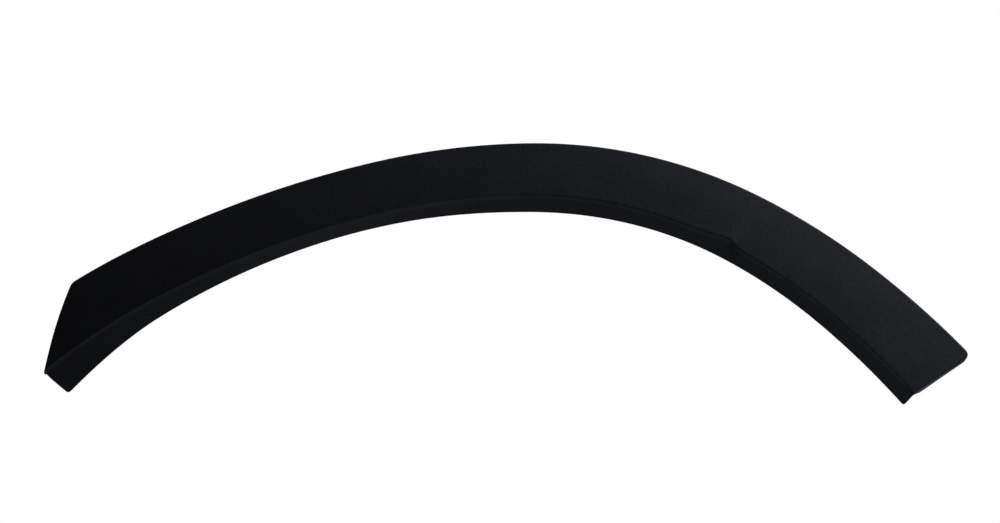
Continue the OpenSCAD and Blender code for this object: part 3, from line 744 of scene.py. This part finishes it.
def tower(s):
    """Walls as a U from the face to the roof, and the roof as a square with a keyhole cut into it."""
    t, i = TOWER_HALF, INSIDE
    u_shape = np.array([(-t, -t), (t, -t), (t, t), (-t, t), (-t, i), (i, i), (i, -i), (-t, -i)], float)
    foot = mid_wall(s, u_shape[:, 1])
    walls = prism(np.c_[u_shape[:, 0], foot, u_shape[:, 1]],
                  np.c_[u_shape[:, 0], np.full(8, ROOF_OUT), u_shape[:, 1]])
    hole, slot = NECK_D / 2 + CLIP_GAP, NECK_D / 2 - CLIP_GAP
    start = pi - np.arcsin(slot / hole)
    around = np.linspace(start, -start, KEYHOLE_STEPS)
    top = i + ROOF_LAP
    square = np.array([(-t, -top), (top, -top), (top, top), (-t, top), (-t, slot)], float)
    circle = np.c_[hole * np.cos(around), hole * np.sin(around)]
    key = np.vstack([square, circle, [(-t, -slot)]])
    roof = prism(np.c_[key[:, 0], np.full(len(key), ROOF_IN), key[:, 1]],
                 np.c_[key[:, 0], np.full(len(key), ROOF_OUT), key[:, 1]])
    points, faces = gather([walls, roof])
    return on_body(s, points), faces


towers = add_piece("clip_towers", *gather([tower(s) for s in clip_places]), black_plastic, "black_plastic",
                   ["moulding"], sharp=30)
print("towers:", len(clip_places), "of", 2 * TOWER_HALF, "mm square")

# %% [markdown]
# The pins find the holes in the body before the clips are pushed home. A pin is a round profile turned
# about its axis, with two crossed fins that stiffen its foot. Ribs tie the face to the lip so that
# the lip doesn't flap.

# %% Locating pins and ribs
PIN_D, PIN_L, PIN_TIP, PIN_FOOT_D, PIN_FIN = 6, 8, 1.5, 7.5, 2
RIB_T, RIB_UP, RIB_SHORT = 1.6, 15, 5


def round_corners(profile, reach, steps=4):
    """Each inner corner of an open profile replaced by a parabola that starts reach away from it,
    or a third of the way along its shorter side if that is less."""
    p = np.asarray(profile, float)
    out = [p[:1]]
    for a, b, c in zip(p[:-2], p[1:-1], p[2:]):
        near = min(reach, np.linalg.norm(a - b) / 3, np.linalg.norm(c - b) / 3)
        k = np.linspace(0, 1, steps + 1)[:, None]
        out.append(b + unit(a - b) * near * (1 - k) ** 2 + unit(c - b) * near * k ** 2)
    return np.vstack(out + [p[-1:]])


def turned(profile, around=48):
    """A profile of (radius, y) turned about y: rings of points, with the ends closed by flat faces."""
    p = np.asarray(profile, float)
    a = np.linspace(0, 2 * pi, around, endpoint=False)
    points = np.stack([p[:, :1] * np.cos(a), np.repeat(p[:, 1:], around, 1), p[:, :1] * np.sin(a)], -1)
    n, k = len(p), np.arange(around)
    rings = np.arange(n - 1)[:, None] * around
    after = np.roll(k, -1)
    faces = np.stack([rings + k, rings + after, rings + around + after, rings + around + k], -1)
    caps = [list(k), list((n - 1) * around + k[::-1])]
    return points.reshape(-1, 3), faces.reshape(-1, 4).tolist() + [list(map(int, c)) for c in caps]


def locating_pin(s):
    """A turned foot and pin, and two fins that cross at its axis."""
    foot = float(mid_wall(s, 0.0))
    r, rf = PIN_D / 2, PIN_FOOT_D / 2
    core = turned(round_corners([(rf, foot), (rf, 0), (r, 0), (r, PIN_L), (r - PIN_TIP / 2, PIN_L + PIN_TIP),
                                 (0.4, PIN_L + PIN_TIP)], 0.4))
    reach, h = rf + PIN_FIN, RIB_T / 2
    x, _, heading = (v[0] for v in arch_line(np.array([s])))
    fall = reach * plan_slope(np.array([x]))[0] * cos(heading)
    upright = np.array([(float(mid_wall(s, -reach)), -reach), (0, -reach), (0, reach),
                        (float(mid_wall(s, reach)), reach)])
    level = np.array([(-reach, foot - fall), (reach, foot + fall), (reach, 0), (-reach, 0)])
    fin_a = prism(np.c_[np.full(4, -h), upright], np.c_[np.full(4, h), upright])
    fin_b = prism(np.c_[level, np.full(4, -h)], np.c_[level, np.full(4, h)])
    points, faces = gather([core, fin_a, fin_b])
    return on_body(s, points, turned=False), faces


def rib(s):
    """A thin web whose outline follows the middle of the wall from the face round to the lip."""
    p = slice_across(np.array([float(s)]), 0)[0]
    shift = fold_shift(np.array([float(s)]))[0]
    deep, half = LIP_DEPTH - RIB_SHORT, WALL / 2
    edge_u = p[0, 0]
    foot_u = shift[0] - STEP_IN
    lip_u = foot_u + (edge_u - foot_u) * (deep - STEP_DEPTH) / (LIP_DEPTH - STEP_DEPTH)
    outline = np.array([(RIB_UP, float(face_depth(s, RIB_UP)) + half), (shift[0] + half, shift[1] + half),
                        (foot_u + half, STEP_DEPTH), (lip_u + half, deep)])
    local = np.c_[outline[:, 1] - SEAT, outline[:, 0] - CLIP_UP]
    points, faces = prism(np.c_[np.full(4, -RIB_T / 2), local], np.c_[np.full(4, RIB_T / 2), local])
    return on_body(s, points), faces


add_piece("locating_pins", *gather([locating_pin(s) for s in pin_places]), black_plastic, "black_plastic",
          ["moulding"], sharp=30)
ribs = add_piece("stiffening_ribs", *gather([rib(s) for s in rib_places]), black_plastic,
                 "black_plastic", ["moulding"], sharp=30)
print("pins:", len(pin_places), " ribs:", len(rib_places))

# %% [markdown]
# Corners of moulded towers and ribs are broken by a small radius. A Bevel modifier does that on the
# finished meshes, limited by angle so that it leaves curved walls alone.

# %% Broken corners
def break_corners(piece, width_mm):
    """Bevel of that width on every edge that turns by more than 40 degrees."""
    bevel = piece.modifiers.new("broken_corners", "BEVEL")
    bevel.width, bevel.segments, bevel.limit_method = width_mm * MM, 2, "ANGLE"
    bevel.angle_limit, bevel.harden_normals = radians(40), False


for piece in (towers, ribs):
    break_corners(piece, 0.25)
print("bevelled", towers.name, "and", ribs.name)

# %% [markdown]
# A push-in clip is a turned shape: head, neck, flange and a stem with barbs like a fir tree. The
# profile's corners are rounded a little, because moulded nylon never has sharp ones.

# %% Push-in clips and their foam rings
STEM_D, BARB_D, BARBS, BARB_PITCH, BARB_TAPER, TIP_L, PANEL_T = 4.4, 8.4, 4, 2.7, 0.25, 3, 1
BARB_START, BARB_END, BARB_GAP, FLANGE_GAP, RING_ROUND = 0.3, 0.8, 0.4, 0.01, 0.25


def clip_profile():
    """Radius and depth of the clip from the head to the tip."""
    head_out = ROOF_IN - CLIP_GAP / 2
    flange_in, flange_out = ROOF_OUT + FLANGE_GAP, ROOF_OUT + FLANGE_T - FLANGE_GAP
    stem, tip = STEM_D / 2, PANEL_T + BARBS * BARB_PITCH
    head, neck, flange = HEAD_D / 2, NECK_D / 2, FLANGE_D / 2
    p = [(0.5, head_out - HEAD_T), (head, head_out - HEAD_T), (head, head_out), (neck, head_out),
         (neck, flange_in), (flange, flange_in), (flange, flange_out), (stem, flange_out)]
    for k in range(BARBS):
        r, y = BARB_D / 2 - BARB_TAPER * k, PANEL_T + k * BARB_PITCH
        p += [(stem, y), (r, y + BARB_START), (r, y + BARB_END), (stem, y + BARB_PITCH - BARB_GAP)]
    return round_corners(p + [(stem, tip), (stem * 0.4, tip + TIP_L), (0.2, tip + TIP_L)], 0.3, 3)


def foam_ring():
    """A closed ring section turned about y, with its corners rounded by RING_ROUND."""
    r = RING_ROUND
    inner_edge, outer_edge, top, bottom = (BARB_D + CLIP_GAP) / 2 + r, RING_D / 2 - r, -r, -RING_T + r
    a = np.concatenate([np.linspace(q, q + pi / 2, 5) for q in (0, pi / 2, pi, 3 * pi / 2)])
    corner = np.repeat([(outer_edge, top), (inner_edge, top), (inner_edge, bottom), (outer_edge, bottom)],
                       5, axis=0)
    section = corner + r * np.c_[np.cos(a), np.sin(a)]
    around, n = 48, len(section)
    b = np.linspace(0, 2 * pi, around, endpoint=False)
    points = np.stack([section[:, :1] * np.cos(b), np.repeat(section[:, 1:], around, 1),
                       section[:, :1] * np.sin(b)], -1).reshape(-1, 3)
    i, k = np.arange(n)[:, None], np.arange(around)
    ring, after = i * around, np.roll(np.arange(n), -1)[:, None] * around
    faces = np.stack([ring + k, ring + np.roll(k, -1), after + np.roll(k, -1), after + k], -1)
    return points, faces.reshape(-1, 4).tolist()


profile = clip_profile()
for number, s in enumerate(clip_places, 1):
    points, faces = turned(profile)
    add_piece(f"push_clip_{number}", on_body(s, points), faces, nylon, "natural_nylon",
              [f"clip_{number}"], sharp=40)
    points, faces = foam_ring()
    add_piece(f"foam_ring_{number}", on_body(s, points), faces, foam, "foam",
              [f"clip_ring_{number}"], sharp=60)
print("clip from head to tip: %.1f mm" % (profile[-1, 1] - profile[0, 1]))

# %% [markdown]
# A foam strip inside the top return keeps the plastic off the paint. It is a small section with
# softened corners, carried along the arch at the return's inner wall.

# %% Edge seal
SEAL_W, SEAL_CHAMFER, SEAL_GRIP, SEAL_BOND, SEAL_MARGIN, SEAL_PLACES = 4, 0.8, 5, 0.15, 10, 260


def seal_points():
    """Grid [place, corner]: the section's corners set off from the return at every place."""
    rear_top = -REAR_LEN + FACE_KNOTS[0][1] * np.tan(REAR_CUT)
    s = np.linspace(rear_top + SEAL_MARGIN, FRONT_LEN - SEAL_MARGIN, SEAL_PLACES)
    c, foot = SEAL_CHAMFER, RIM_DEPTH - SEAL_GRIP
    section = round_corners([(0, foot), (0, SEAT - c), (-c, SEAT), (-SEAL_W + c, SEAT), (-SEAL_W, SEAT - c),
                             (-SEAL_W, foot)], 0.6, 3)
    u = through(FACE_KNOTS, s)[:, None] - WALL - SEAL_BOND + section[None, :, 0]
    x, z, heading = (v[:, None] for v in arch_line(s))
    return np.stack([x + np.sin(heading) * u, plan_in(x) + section[None, :, 1] - SEAT + 0 * u,
                     z + np.cos(heading) * u], -1)


strip = seal_points()
n, m = strip.shape[:2]
a = (np.arange(n - 1)[:, None] * m + np.arange(m)[None]).ravel()
b = (np.arange(n - 1)[:, None] * m + (np.arange(m)[None] + 1) % m).ravel()
strip_ends = [list(range(m)), list(range((n - 1) * m, n * m))[::-1]]
strip_faces = np.stack([a, b, b + m, a + m], -1).tolist() + strip_ends
add_piece("edge_foam_strip", strip.reshape(-1, 3), strip_faces, foam, "foam", ["edge_seal"], sharp=40)
print("seal: %.0f mm long" % np.linalg.norm(np.diff(strip[:, 0], axis=0), axis=1).sum())

# %% [markdown]
# The CAD solids stay in the file for collision. They are hidden here, because finer pieces stand for
# them, but each still gets the finish of its piece.

# %% Finishes on the CAD solids
for name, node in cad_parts.items():
    finish = black_plastic if name == "moulding" else foam if "ring" in name or "seal" in name else nylon
    node.data.materials.clear()
    node.data.materials.append(finish)
print("CAD solids dressed:", len(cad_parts))

# %% Final update of the scene
bpy.context.view_layer.update()
